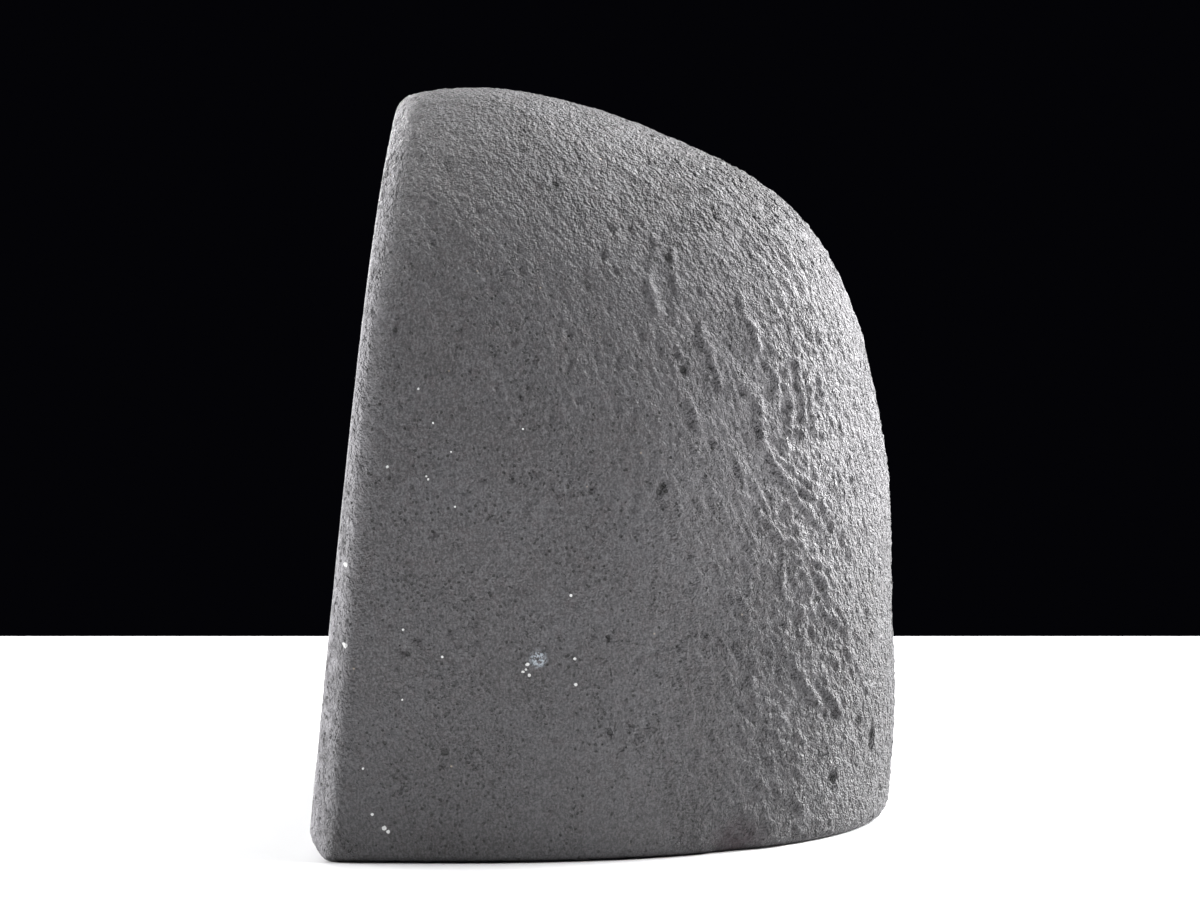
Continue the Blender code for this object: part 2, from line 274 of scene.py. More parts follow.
def skin_distance(ways):
    """Distance from the rock's middle to its smooth skin, for each way."""
    middle = np.array(ROCK_MIDDLE)
    inside = np.zeros(len(ways))
    outside = np.full(len(ways), 2 * HEIGHT)
    for _ in range(40):
        halfway = (inside + outside) / 2
        is_in = fills(middle + ways * halfway[:, None]) < 1
        inside = np.where(is_in, halfway, inside)
        outside = np.where(is_in, outside, halfway)
    return outside


def beside_line(points, start, end):
    """Distance in the (y, z) plane from the line between two places, and how far off its course, with its sign."""
    start = np.array(start)
    line = np.array(end) - start
    from_start = points[:, 1:] - start
    along = np.clip(from_start @ line / (line @ line), 0, 1)
    distance = np.linalg.norm(from_start - along[:, None] * line, axis=1)
    off_course = (from_start[:, 0] * line[1] - from_start[:, 1] * line[0]) / math.hypot(*line)
    return distance, off_course


def marks(points):
    wobble = 1.3 * MM * lattice_noise(points / (3 * MM), 8) + 1.6 * MM * lattice_noise(points / (6 * MM), 9)
    distance, _ = beside_line(points + wobble[:, None], DENT_TOP, DENT_FOOT)
    lip = LIP_SHARE * DENT_DEPTH * (1 + lattice_noise(points / (5 * MM), 10))
    dent = lip * bump(distance, 2 * DENT_WIDTH) - (lip + DENT_DEPTH) * bump(distance, DENT_WIDTH)
    distance, off_course = beside_line(points, DRAG_TOP, DRAG_FOOT)
    wander = DRAG_WANDER * solid_noise(points / (3 * DRAG_PITCH))
    drag = DRAG_HEIGHT * bump(distance, DRAG_SPREAD) * np.sin(math.tau * off_course / DRAG_PITCH + wander)
    from_notch = np.hypot(points[:, 1] - NOTCH_PLACE[0], points[:, 2] - NOTCH_PLACE[1])
    notch = NOTCH_DEPTH * bump(from_notch, NOTCH_REACH)
    return np.where(points[:, 0] < HALF_WIDTH / 5, 0, MARK_SHARE * (dent + drag) - notch)


def relief(points):
    lumps = LUMP_HEIGHT * solid_noise(points / LUMP_SIZE)
    height = np.maximum(0, 1 - np.maximum(points[:, 2], 0) / BACK_TUCK_HEIGHT)
    backward = np.clip(points[:, 1] / HALF_WIDTH, 0, 1)
    return lumps + marks(points) - BACK_TUCK * backward * height**2


def smooth_max(a, b, width):
    overlap = np.maximum(width - np.abs(a - b), 0) / width
    return np.maximum(a, b) + overlap**2 * width / 4


def cut_distance(ways, skin, steepness):
    """Distance from the middle to the rock's surface once it is sawn and its rims are worn, for each way.

    steepness is how fast a point that moves this way leaves the skin.
    """
    middle = np.array(ROCK_MIDDLE)
    near = np.zeros(len(ways))
    far = skin * 1.05
    for _ in range(34):
        halfway = (near + far) / 2
        places = middle + ways * halfway[:, None]
        off_skin = (halfway - skin) * steepness
        off_front = (places - FRONT_FOOT) @ np.array(FRONT_NORMAL)
        off_base = -places[:, 2]
        leg = RIM_ROUND + (CHAMFER_LEG - RIM_ROUND) * np.clip(1 - places[:, 2] / CHAMFER_FADES_AT, 0, 1)
        leg += UPPER_RIM_WEAR * eased(places[:, 2], 105 * MM, 150 * MM) * eased(np.abs(places[:, 0]), 8 * MM, 26 * MM)
        chamfer = (off_skin + off_front + leg) / math.sqrt(2)
        foot = (off_skin + off_base + RIM_ROUND) / math.sqrt(2)
        heel = (off_front + off_base + FRONT_FOOT_ROUND) / math.sqrt(2)
        outside = smooth_max(off_skin, off_front, 1.0 * MM)
        outside = smooth_max(outside, off_base, 0.6 * MM)
        outside = smooth_max(outside, chamfer, 1.3 * MM)
        outside = smooth_max(outside, foot, 0.8 * MM)
        outside = smooth_max(outside, heel, 2.0 * MM)
        near = np.where(outside < 0, halfway, near)
        far = np.where(outside < 0, far, halfway)
    return far


# The coat's own texture

def along_strokes(points):
    """Places bent so that the brush strokes run along the third axis."""
    bent = points.copy()
    turn = np.maximum(0, points[:, 2] - 116 * MM)
    bent[:, 1] += 0.38 * points[:, 2] + 0.7 * turn**2 / (turn + 12 * MM)
    return bent / MM


def drawn_ridges(points):
    """How near a point lies to the crest of a drawn ridge: 1 on it, 0 beside it."""
    nearness = np.zeros(len(points))
    wobble = 0.5 * MM * lattice_noise(points / (4 * MM), 11)
    shifted = points + wobble[:, None]
    for places in RIDGES:
        for start, end in itertools.pairwise(places):
            distance, _ = beside_line(shifted, [side * MM for side in start], [side * MM for side in end])
            nearness = np.maximum(nearness, bump(distance, RIDGE_REACH))
    return np.where(points[:, 0] < HALF_WIDTH / 5, 0, nearness)


def coat_texture(points):
    """Height of the coat's grain, strokes, ridges and patches over its smooth form, in metres."""
    bent = along_strokes(points)
    y = points[:, 1] / MM
    z = points[:, 2] / MM
    facing = eased(points[:, 0] / MM, 4, 20)
    coarse = 0.32 + 0.95 * eased(y, -5, 40) + 0.5 * eased(z, 112, 150)
    strokes = lattice_noise(bent / (1.5, 1.5, 6.5), 1)
    grain = lattice_noise(bent / (1.15, 1.15, 1.7), 2)
    blots = lattice_noise(bent / (3.4, 3.4, 8), 3)
    patches = lattice_noise(bent / (9, 9, 15), 4)
    creases = ridged_noise(bent / (2.3, 2.3, 4.5), 12)
    height = coarse * (0.15 * strokes + 0.26 * grain + 0.13 * blots + 0.16 * creases) + 0.12 * patches
    distance, _ = beside_line(points, (20 * MM, 112 * MM), (52 * MM, 30 * MM))
    dragged_and_lit = bump(distance, 22 * MM) * facing
    wandering = bent + 1.6 * lattice_noise(bent / 11, 5)[:, None]
    ridges = ridged_noise(wandering / (2.6, 2.6, 9), 6)
    height += 0.13 * dragged_and_lit * ridges * (0.6 + 0.6 * lattice_noise(bent / 9, 7))
    height *= MM
    return height + RIDGE_HEIGHT * drawn_ridges(points) * (0.8 + 0.5 * lattice_noise(bent / 5, 13))


def pits(places, rng):
    """Centres of the coat's pits, with a radius and a depth for each: the clearest ones, then scattered ones."""
    known = (
        (38, -12, 137.7, 1.1, 0.5), (37, -13.4, 136.9, 0.8, 0.4), (52.3, 9.9, 76.6, 0.9, 0.6),
        (52.4, 9.2, 75.4, 0.6, 0.4), (47.6, 14.2, 99.9, 1.0, 0.5), (49.5, -44.3, 108.1, 0.9, 0.4),
        (29.8, 52, 24.8, 1.3, 0.7), (24.5, 55.7, 20.7, 1.3, 0.7), (34.8, 46.2, 12.9, 1.4, 0.7),
        (18.5, 57.9, 7.7, 1.0, 0.5), (56, -1.1, 46.2, 0.6, 0.4), (56.2, -0.7, 26.6, 0.7, 0.4),
        (57.2, -0.1, 26.4, 0.6, 0.4), (35.4, 44.8, 24.5, 0.8, 0.5), (38, 42.3, 30.2, 0.7, 0.4),
    )
    for x, y, z, radius, depth in known:
        yield Vector((x, y, z)) * MM, radius * MM, depth * MM
    for _ in range(PIT_COUNT):
        centre = Vector(places[rng.randrange(len(places))])
        size = rng.random() ** 3
        yield centre, (0.35 + 0.5 * size) * MM, (0.15 + 0.3 * size) * MM


def saw(bm, point, normal):
    """Cuts off what lies on the normal's side of a plane, closes the cut and gives its face."""
    everything = bm.verts[:] + bm.edges[:] + bm.faces[:]
    bmesh.ops.bisect_plane(bm, geom=everything, dist=TOUCH, plane_co=point, plane_no=normal, clear_outer=True)
    rim = [edge for edge in bm.edges if edge.is_boundary]
    return bmesh.ops.holes_fill(bm, edges=rim, sides=0)["faces"]


def rock_surface():
    """The rock's mesh with its coat, in one closed piece before the hollow is cut."""
    bm = bmesh.new()
    bmesh.ops.create_cube(bm, size=2)
    bmesh.ops.subdivide_edges(bm, edges=bm.edges[:], cuts=ROCK_FACES - 1, use_grid_fill=True)
    ways = np.tan(np.array([vertex.co for vertex in bm.verts]) * math.pi / 4)
    ways /= np.linalg.norm(ways, axis=1)[:, None]

    # The vertices are drawn towards +X, the side with most detail, which keeps every face square
    stretch = 1 / math.sqrt(1 - SIDE_PULL**2)
    nearness = 1 + SIDE_PULL * ways[:, 0]
    pulled = ways / (stretch * nearness)[:, None]
    pulled[:, 0] = (ways[:, 0] + SIDE_PULL) / nearness
    ways = pulled / np.linalg.norm(pulled, axis=1)[:, None]
    for vertex, way in zip(bm.verts, ways):
        vertex.co = way
    skin = skin_distance(ways)
    places = np.array(ROCK_MIDDLE) + ways * skin[:, None]
    to_camera = np.array(CAMERA_PLACE) - places
    to_camera /= np.linalg.norm(to_camera, axis=1)[:, None]
    step = 0.1 * MM
    slope = np.stack([fills(places + step * axis) - fills(places - step * axis) for axis in np.eye(3)], axis=1)
    slope /= np.linalg.norm(slope, axis=1)[:, None]
    off_front = (places - FRONT_FOOT) @ np.array(FRONT_NORMAL)
    shows = ((slope * to_camera).sum(1) > -0.08) & (off_front < 1.5 * MM) & (places[:, 2] > -2.5 * MM)
    bm.verts.ensure_lookup_table()
    fine = {edge for vertex, shown in zip(bm.verts[:], shows) if shown for face in vertex.link_faces for edge in face.edges}
    bmesh.ops.subdivide_edges(bm, edges=list(fine), cuts=1, use_grid_fill=True)

    ways = np.array([vertex.co for vertex in bm.verts])
    ways /= np.linalg.norm(ways, axis=1)[:, None]
    smooth = skin_distance(ways)
    places = np.array(ROCK_MIDDLE) + ways * smooth[:, None]
    skin = smooth + relief(places)
    slope = np.stack([fills(places + step * axis) - fills(places - step * axis) for axis in np.eye(3)], axis=1)
    slope /= np.linalg.norm(slope, axis=1)[:, None]
    steepness = (slope * ways).sum(1)
    reach = cut_distance(ways, skin, steepness)
    places = np.array(ROCK_MIDDLE) + ways * reach[:, None]
    for vertex, place in zip(bm.verts, places):
        vertex.co = place
    bm.normal_update()
    normals = np.array([vertex.normal for vertex in bm.verts])

    # The texture fades out on the sawn faces
    off_front = (places - FRONT_FOOT) @ np.array(FRONT_NORMAL)
    coated = eased(off_front, -0.1 * MM, -1.2 * MM) * eased(places[:, 2], 0.1 * MM, 1.2 * MM)
    height = coat_texture(places)
    tree = kdtree.KDTree(len(places))
    for index, place in enumerate(places):
        tree.insert(place, index)
    tree.balance()
    for centre, radius, depth in pits(places, random.Random(PIT_SEED)):
        for place, index, distance in tree.find_range(centre, 2.2 * radius):
            long_way = abs(place.z - centre.z)
            across = math.sqrt(max(0.0, distance**2 - 0.6 * long_way**2))
            height[index] -= depth * max(0.0, 1 - (across / (1.6 * radius)) ** 2) ** 2
    moved = places + normals * (coated * (height - COAT_INSET))[:, None]
    moved = np.minimum(moved, np.array(cad_box[1]) - BOX_MARGIN)
    for vertex, place in zip(bm.verts, moved):
        vertex.co = place

    # The sawn faces are one flat face each, cut a hair under the planes that the rims round into
    for face in bm.faces:
        face.smooth = True
    for index, point, normal in ((1, FRONT_FOOT - FRONT_NORMAL * SAW_DEPTH, FRONT_NORMAL), (2, UP * SAW_DEPTH / 4, -UP)):
        for face in saw(bm, point, normal):
            face.material_index = index
            face.smooth = False
    return bm


# Solids for the hollow, as in the CAD source but finer

def cube_sphere(faces):
    bm = bmesh.new()
    bmesh.ops.create_cube(bm, size=2)
    bmesh.ops.subdivide_edges(bm, edges=bm.edges[:], cuts=faces - 1, use_grid_fill=True)
    for vertex in bm.verts:
        vertex.co = Vector([math.tan(side * math.pi / 4) for side in vertex.co]).normalized()
    return bm


def hollow_reach(way):
    total = (
        abs(way.x / HOLLOW_HALF_WIDTH) ** HOLLOW_FULLNESS
        + abs(way.dot(FRONT_NORMAL) / HOLLOW_DEPTH) ** HOLLOW_FULLNESS
        + abs(way.dot(FRONT_UP) / HOLLOW_HALF_HEIGHT) ** HOLLOW_FULLNESS
    )
    return total ** (-1 / HOLLOW_FULLNESS) + HOLLOW_WAVE * noise.noise(way * HOLLOW_WAVES + Vector((3, 1, 7)))


def new_object(name, bm):
    mesh = bpy.data.meshes.new(name)
    bm.to_mesh(mesh)
    bm.free()
    made = bpy.data.objects.new(name, mesh)
    bpy.context.scene.collection.objects.link(made)
    return made


def hollow_form(name, faces, inset, druse=0.0):
    """A closed form of the hollow with its wall moved in, and roughened where druse is more than 0."""
    bm = cube_sphere(faces)
    for vertex in bm.verts:
        vertex.co = HOLLOW_CENTRE + vertex.co * hollow_reach(vertex.co)
    bm.normal_update()
    moved = []
    for vertex in bm.verts:
        rough = druse * (noise.noise(vertex.co / (1.9 * MM)) - 0.4)
        moved.append(vertex.co - vertex.normal * (inset + rough))
    for vertex, place in zip(bm.verts, moved):
        vertex.co = place
    return new_object(name, bm)


def crystal_mesh(radius, length, rng):
    bm = bmesh.new()
    raised = Matrix.Translation((0, 0, length / 2))
    bmesh.ops.create_cone(bm, cap_ends=True, segments=6, radius1=radius, radius2=radius, depth=length, matrix=raised)
    for face in range(6):
        turn = math.radians(60 * face)
        outward = math.sin(END_FACE_SLOPE)
        normal = Vector((outward * math.sin(turn), outward * math.cos(turn), math.cos(END_FACE_SLOPE)))
        drop = radius * rng.uniform(*(SMALL_FACE_DROPS if face % 2 else LARGE_FACE_DROPS))
        saw(bm, Vector((0, 0, length - drop)), normal)
    return bm


def crystal_places(count, scatter, rng):
    golden = math.pi * (3 - math.sqrt(5))
    for index in range(2 * count):
        height = 1 - (2 * index + 1) / (2 * count)
        ring = math.sqrt(1 - height**2)
        turn = golden * index
        way = Vector((ring * math.cos(turn), ring * math.sin(turn), height))
        way += Vector([rng.uniform(-scatter, scatter) for _ in range(3)])
        way.normalize()
        wall = HOLLOW_CENTRE + way * hollow_reach(way)
        side_a = way.orthogonal().normalized() * WALL_PROBE
        side_b = way.cross(side_a)
        edge_a = (way + side_a).normalized()
        edge_b = (way + side_b).normalized()
        along_a = HOLLOW_CENTRE + edge_a * hollow_reach(edge_a) - wall
        along_b = HOLLOW_CENTRE + edge_b * hollow_reach(edge_b) - wall
        inward = along_a.cross(along_b).normalized()
        if inward.dot(way) > 0:
            inward.negate()
        yield wall, inward


def apart(crystal, others):
    middle, radius = crystal
    return all((middle - other).length > radius + other_radius for other, other_radius in others)


def crystals(count, seed, scatter, radii, foot_depth):
    """Crystals on the hollow's wall, each as a mesh with the ball around it."""
    rng = random.Random(seed)
    for wall, inward in crystal_places(count, scatter, rng):
        radius = rng.uniform(*radii)
        length = BED_THICKNESS - foot_depth + radius * rng.uniform(*CRYSTAL_LENGTHS)
        lean = Vector([rng.gauss(0, 1) for _ in range(3)]).normalized() * math.tan(CRYSTAL_TILT) * rng.random()
        axis = (inward + lean).normalized()
        foot = wall + inward * foot_depth
        if (foot - FRONT_FOOT).dot(FRONT_NORMAL) > radius:
            continue
        crystal = crystal_mesh(radius, length, rng)
        turn = axis.to_track_quat("Z", "Y").to_matrix().to_4x4() @ Matrix.Rotation(rng.uniform(0, math.tau), 4, "Z")
        crystal.transform(Matrix.Translation(foot) @ turn)
        middle = foot + axis * length / 2
        yield crystal, (middle, max((vertex.co - middle).length for vertex in crystal.verts))


def crystal_groups():
    """All crystals, in objects whose crystals stand clear of each other, which makes clean unions."""
    balls = []
    groups = []
    large = crystals(CRYSTAL_COUNT, CRYSTAL_SEED, CRYSTAL_SCATTER, CRYSTAL_RADII, FOOT_DEPTH)
    small = crystals(SMALL_CRYSTAL_COUNT, SMALL_CRYSTAL_SEED, CRYSTAL_SCATTER, SMALL_CRYSTAL_RADII, SMALL_FOOT_DEPTH)
    for crystal, ball in itertools.chain(large, small):
        place = next((i for i, group in enumerate(balls) if apart(ball, group)), len(balls))
        if place == len(balls):
            balls.append([])
            groups.append(bmesh.new())
        balls[place].append(ball)
        one = bpy.data.meshes.new("crystal")
        crystal.to_mesh(one)
        crystal.free()
        groups[place].from_mesh(one)
        bpy.data.meshes.remove(one)
    return [new_object(f"crystals_{i + 1}", bm) for i, bm in enumerate(groups)]


def front_block():
    size = 2 * HEIGHT
    bm = bmesh.new()
    bmesh.ops.create_cube(bm, size=size)
    for vertex in bm.verts:
        vertex.co.y -= size / 2
    bm.transform(Matrix.Translation(HOLLOW_CENTRE) @ Matrix.Rotation(-FRONT_LEAN, 4, "X"))
    return new_object("front_block", bm)


def with_booleans(base, steps):
    """base after each (operation, object) in turn, with the objects removed."""
    for operation, other in steps:
        modifier = base.modifiers.new(operation, "BOOLEAN")
        modifier.operation = operation
        modifier.solver = "MANIFOLD"
        modifier.object = other
    bpy.context.view_layer.update()
    finished = bpy.data.meshes.new_from_object(base.evaluated_get(bpy.context.evaluated_depsgraph_get()))
    base.modifiers.clear()
    base.data = finished
    for _, other in steps:
        bpy.data.objects.remove(other)
    return base


# Materials

def material(name):
    """A new material, with its nodes and links and its shader."""
    made = bpy.data.materials.new(name)
    made.use_nodes = True
    tree = made.node_tree
    return made, tree.nodes, tree.links, tree.nodes["Principled BSDF"]


def add(nodes, links, kind, inputs=(), **settings):
    """A node with its settings, and its inputs given as values or as sockets to link."""
    node = nodes.new(kind)
    for name, value in settings.items():
        setattr(node, name, value)
    for key, value in dict(inputs).items():
        socket = node.inputs[key]
        if isinstance(value, bpy.types.NodeSocket):
            links.new(value, socket)
        else:
            socket.default_value = value
    return node


class Nodes:
    """Short names for the nodes that the materials share."""

    def __init__(self, name):
        self.material, self.nodes, self.links, self.shader = material(name)
        self.place = self.add("ShaderNodeTexCoord").outputs["Object"]

    def add(self, kind, inputs=(), **settings):
        return add(self.nodes, self.links, kind, inputs, **settings)

    def maths(self, operation, a, b=0.0, c=0.0, clamp=False):
        node = self.add("ShaderNodeMath", {0: a, 1: b, 2: c}, operation=operation, use_clamp=clamp)
        return node.outputs[0]

    def noise(self, vector, scale, detail=2.0, roughness=0.5):
        inputs = {"Vector": vector, "Scale": scale, "Detail": detail, "Roughness": roughness}
        return self.add("ShaderNodeTexNoise", inputs).outputs["Fac"]

    def range(self, value, low, high, to_low=0.0, to_high=1.0, smooth=True):
        kind = "SMOOTHSTEP" if smooth else "LINEAR"
        inputs = {"Value": value, "From Min": low, "From Max": high, "To Min": to_low, "To Max": to_high}
        return self.add("ShaderNodeMapRange", inputs, interpolation_type=kind).outputs["Result"]

    def mix(self, factor, a, b, blend="MIX"):
        node = self.add("ShaderNodeMix", data_type="RGBA", blend_type=blend)
        for index, value in ((0, factor), (6, a), (7, b)):
            socket = node.inputs[index]
            if isinstance(value, bpy.types.NodeSocket):
                self.links.new(value, socket)
            else:
                socket.default_value = value
        return node.outputs[2]

    def near(self, centre, radius, feather=0.5):
        """1 within this radius of a point, in metres, falling to 0 over the feather's share of it."""
        offset = self.add("ShaderNodeVectorMath", {0: self.place, 1: centre}, operation="DISTANCE").outputs["Value"]
        return self.range(offset, radius, radius * (1 - feather), 0.0, 1.0)

    def spots(self, places, ragged):
        """1 inside spots of the +X side, each (y, z, radius) in millimetres, with edges that follow ragged."""
        split = self.add("ShaderNodeSeparateXYZ", {0: self.place})
        flat = self.add("ShaderNodeCombineXYZ", {1: split.outputs["Y"], 2: split.outputs["Z"]}).outputs[0]
        nearest = 10.0
        for y, z, radius in places:
            inputs = {0: flat, 1: (0, y * MM, z * MM)}
            offset = self.add("ShaderNodeVectorMath", inputs, operation="DISTANCE").outputs["Value"]
            nearest = self.maths("MINIMUM", nearest, self.maths("DIVIDE", offset, radius * MM))
        nearest = self.maths("MULTIPLY_ADD", ragged, 1.2, nearest)
        on_side = self.maths("GREATER_THAN", split.outputs["X"], 0.0)
        return self.maths("MULTIPLY", on_side, self.range(nearest, 1.7, 1.3))

    def colour(self, value):
        self.links.new(value, self.shader.inputs["Base Color"])


def grey(value, warmth=0.0):
    return (value * (1 + warmth), value, value * (1 - warmth), 1)


def coat_material():
    n = Nodes("grey_cement_coat")
    split = n.add("ShaderNodeSeparateXYZ", {0: n.place})
    lean = n.maths("MULTIPLY_ADD", split.outputs["Z"], 0.38, split.outputs["Y"])
    squeezed = n.maths("MULTIPLY", split.outputs["Z"], 0.5)
    bent = n.add("ShaderNodeCombineXYZ", {0: split.outputs["X"], 1: lean, 2: squeezed}).outputs[0]

    strokes = n.noise(bent, 1050, 0)
    grain = n.noise(n.place, 1450, 0)
    fine = n.noise(n.place, 2800, 0)
    mottle = n.noise(n.place, 75, 4, 0.6)
    streaked = n.add("ShaderNodeVectorMath", {0: bent, 1: (1, 1, 0.5)}, operation="MULTIPLY").outputs[0]
    clusters = n.range(n.noise(streaked, 110, 3, 0.55), 0.36, 0.66, 0.25, 0.41)
    holes = n.noise(n.place, 1250, 2, 0.5)
    pits_and_shade = n.range(holes, clusters, n.maths("SUBTRACT", clusters, 0.06))
    ragged = n.noise(n.place, 1500, 2, 0.6)
    cells = n.add("ShaderNodeTexVoronoi", {"Vector": n.place, "Scale": 850.0, "Randomness": 1.0})
    pick = n.add("ShaderNodeSeparateColor", {0: cells.outputs["Color"]}).outputs[0]
    chosen = n.range(n.maths("ADD", pick, clusters), 1.04, 1.08)
    distance = n.maths("MULTIPLY_ADD", ragged, 0.2, cells.outputs["Distance"])
    dots = n.maths("MULTIPLY", chosen, n.range(distance, 0.4, 0.3))
    pits_and_shade = n.maths("MAXIMUM", n.maths("MULTIPLY", pits_and_shade, 0.7), dots)
    pits_and_shade = n.maths("MAXIMUM", pits_and_shade, n.spots(SHADED_PITS, ragged))
    from_foot = n.add("ShaderNodeVectorMath", {0: n.place, 1: FRONT_FOOT}, operation="SUBTRACT").outputs[0]
    off_front = n.add("ShaderNodeVectorMath", {0: from_foot, 1: FRONT_NORMAL}, operation="DOT_PRODUCT").outputs["Value"]

    # The grain is worn down on the flat flank, and stands out on the back, the top and the rim
    rough = n.range(split.outputs["Y"], 0.0, 0.036, 0.17, 1.0)
    rough = n.maths("ADD", rough, n.range(split.outputs["Z"], 0.112, 0.146, 0.0, 0.45))
    rough = n.maths("ADD", rough, n.range(n.maths("ABSOLUTE", split.outputs["X"]), 0.045, 0.02, 0.0, 0.4))
    rough = n.maths("ADD", rough, n.range(off_front, -0.009, -0.003, 0.0, 0.4))
    rough = n.maths("MULTIPLY", rough, n.range(n.noise(n.place, 130, 2), 0.3, 0.7, 0.7, 1.3))
    grains = n.add("ShaderNodeTexVoronoi", {"Vector": bent, "Scale": 1000.0, "Randomness": 1.0}).outputs["Distance"]
    height = n.maths("MULTIPLY_ADD", strokes, 0.6, n.maths("MULTIPLY", grain, 0.6))
    height = n.maths("MULTIPLY_ADD", fine, 0.7, height)
    height = n.maths("MULTIPLY_ADD", grains, -0.55, height)
    height = n.maths("MULTIPLY", height, rough)
    height = n.maths("MULTIPLY_ADD", pits_and_shade, -0.5, height)
    bumped = n.add("ShaderNodeBump", {"Strength": 1.0, "Distance": 0.001, "Height": height})
    n.links.new(bumped.outputs[0], n.shader.inputs["Normal"])

    base = n.mix(n.range(mottle, 0.3, 0.7), grey(0.092, 0.02), grey(0.114, -0.01))
    base = n.mix(n.range(n.noise(n.place, 420, 3, 0.6), 0.45, 0.7, 0.0, 0.5), base, (0.108, 0.094, 0.092, 1))
    base = n.mix(n.range(fine, 0.5, 0.75, 0.0, 0.8), base, grey(0.17))
    base = n.mix(n.range(fine, 0.45, 0.25, 0.0, 0.7), base, grey(0.055))
    base = n.mix(n.range(grain, 0.42, 0.25, 0.0, 0.5), base, grey(0.05))
    upright = n.add("ShaderNodeVectorMath", {0: n.place, 1: (1, 1, 0.6)}, operation="MULTIPLY").outputs[0]
    speckle = n.noise(upright, 2200, 0)
    base = n.mix(n.range(speckle, 0.52, 0.75, 0.0, 0.6), base, grey(0.17))
    base = n.mix(n.range(speckle, 0.48, 0.25, 0.0, 0.6), base, grey(0.06))

    # Painted shade: the coat's colour is darkened towards the foot
    low = n.range(split.outputs["Z"], 0.075, 0.0, 0.0, 0.3)
    base = n.mix(low, base, grey(0.015))
    # Painted light: the coat is painted paler over the right half of the +X side, from mid height to near the top,
    # where the key light falls
    dragged_and_lit = n.maths("MULTIPLY", n.range(split.outputs["Y"], -0.002, 0.03), n.range(split.outputs["Z"], 0.045, 0.085))
    dragged_and_lit = n.maths("MULTIPLY", dragged_and_lit, n.range(split.outputs["Z"], 0.142, 0.12, 0.0, 0.42))
    base = n.mix(dragged_and_lit, base, grey(0.26))
    # Painted highlight: the coat is painted pale along the front's rim, where the rim catches the left light
    rim_highlight = n.maths("MULTIPLY", n.range(off_front, -0.0065, -0.001), n.range(n.noise(n.place, 300, 3, 0.6), 0.3, 0.6, 0.2, 0.8))
    base = n.mix(rim_highlight, base, grey(0.36))
    base = n.mix(1.0, base, (0.84, 0.82, 0.865, 1), "MULTIPLY")
    # Painted shade: the pits are darkened in colour as well as dug into the bump
    base = n.mix(n.maths("MULTIPLY", pits_and_shade, 0.85), base, grey(0.022))

    # A thin, dark reddish patch over the notch in the foot, with two chips that show white stone
    patch = n.near((0.048, 0.0262, 0.0), 0.0095, 0.75)
    patch = n.maths("MULTIPLY", patch, n.range(n.noise(n.place, 220, 3, 0.6), 0.25, 0.6))
    base = n.mix(n.maths("MULTIPLY", patch, 0.8), base, (0.058, 0.040, 0.047, 1))
    rough_edge = n.maths("MULTIPLY_ADD", n.noise(n.place, 1400, 2, 0.5), 0.0012, -0.0006)
    for centre, radius in (
        ((0.0484, 0.0235, 0.0024), 0.0011), ((0.0477, 0.0244, 0.0031), 0.0007), ((0.0430, 0.0339, 0.0006), 0.0012),
        ((0.0421, 0.0349, 0.0010), 0.0008), ((0.0395, 0.0385, 0.0008), 0.0006),
    ):
        offset = n.add("ShaderNodeVectorMath", {0: n.place, 1: centre}, operation="DISTANCE").outputs["Value"]
        offset = n.maths("ADD", offset, rough_edge)
        base = n.mix(n.range(offset, radius, radius * 0.6), base, grey(0.78))

    # A pale smudge and white specks
    crumbs = n.range(n.noise(n.place, 2000, 2, 0.6), 0.42, 0.62)
    smudge = n.maths("MULTIPLY", n.near((0.0572, -0.0152, 0.0418), 0.0024, 0.7), crumbs)
    base = n.mix(n.maths("MULTIPLY", smudge, 0.9), base, (0.50, 0.56, 0.62, 1))
    base = n.mix(n.spots(WHITE_SPECKS, ragged), base, grey(0.74))
    tiny = n.add("ShaderNodeTexVoronoi", {"Vector": n.place, "Scale": 300.0, "Randomness": 1.0})
    some = n.range(n.add("ShaderNodeSeparateColor", {0: tiny.outputs["Color"]}).outputs[2], 0.955, 0.965)
    point = n.range(tiny.outputs["Distance"], 0.085, 0.05)
    base = n.mix(n.maths("MULTIPLY", some, n.maths("MULTIPLY", point, 0.75)), base, (0.32, 0.27, 0.22, 1))
    n.colour(base)
    n.links.new(n.range(grain, 0.2, 0.8, 0.5, 0.75), n.shader.inputs["Roughness"])
    n.shader.inputs["Specular IOR Level"].default_value = 0.5
    return n.material


def rim_steps(n):
    """How far a point of the sawn front lies outside the hollow's outline: 1 on it, and more outside."""
    local = n.add("ShaderNodeVectorMath", {0: n.place, 1: HOLLOW_CENTRE}, operation="SUBTRACT").outputs[0]
    across = n.add("ShaderNodeSeparateXYZ", {0: local}).outputs["X"]
    upward = n.add("ShaderNodeVectorMath", {0: local, 1: FRONT_UP}, operation="DOT_PRODUCT").outputs["Value"]
    across = n.maths("POWER", n.maths("ABSOLUTE", n.maths("DIVIDE", across, HOLLOW_HALF_WIDTH)), HOLLOW_FULLNESS)
    upward = n.maths("POWER", n.maths("ABSOLUTE", n.maths("DIVIDE", upward, HOLLOW_HALF_HEIGHT)), HOLLOW_FULLNESS)
    return n.maths("POWER", n.maths("ADD", across, upward), 1 / HOLLOW_FULLNESS)


